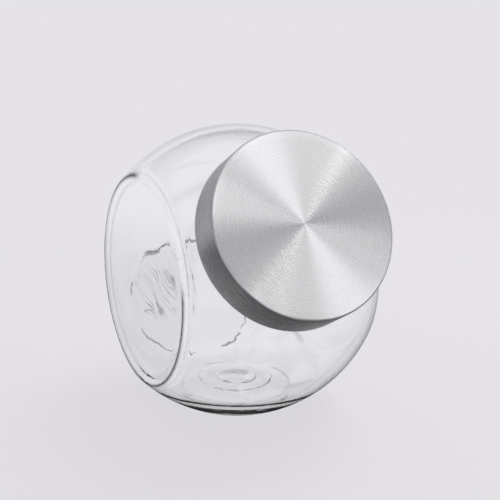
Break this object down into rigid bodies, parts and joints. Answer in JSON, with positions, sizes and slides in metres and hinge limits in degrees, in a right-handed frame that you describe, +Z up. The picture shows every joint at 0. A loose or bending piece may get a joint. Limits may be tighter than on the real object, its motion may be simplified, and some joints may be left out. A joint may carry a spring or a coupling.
{
  "type": "candy jar",
  "caption": "Clear glass globe candy jar with flat side panels, a leaning wide mouth and a brushed steel screw lid, empty.",
  "frame": {"origin": "centre of the base flat, on the surface the jar stands on", "axes": "+X across the jar from side panel to side panel, +Y to the back, +Z up; the mouth and lid lean towards -Y, 30 degrees above level"},
  "size_m": [0.128, 0.2026, 0.1796],
  "materials": {
    "glass": "clear moulded soda-lime glass with a faint grey-green tint",
    "lid_steel": "stainless steel brushed in circles on top and around the skirt",
    "liner": "matt white moulded liner"
  },
  "bodies": {
    "root": {"jar": "glass", "lid": "lid_steel", "lid_liner": "liner"}
  },
  "joints": []
}
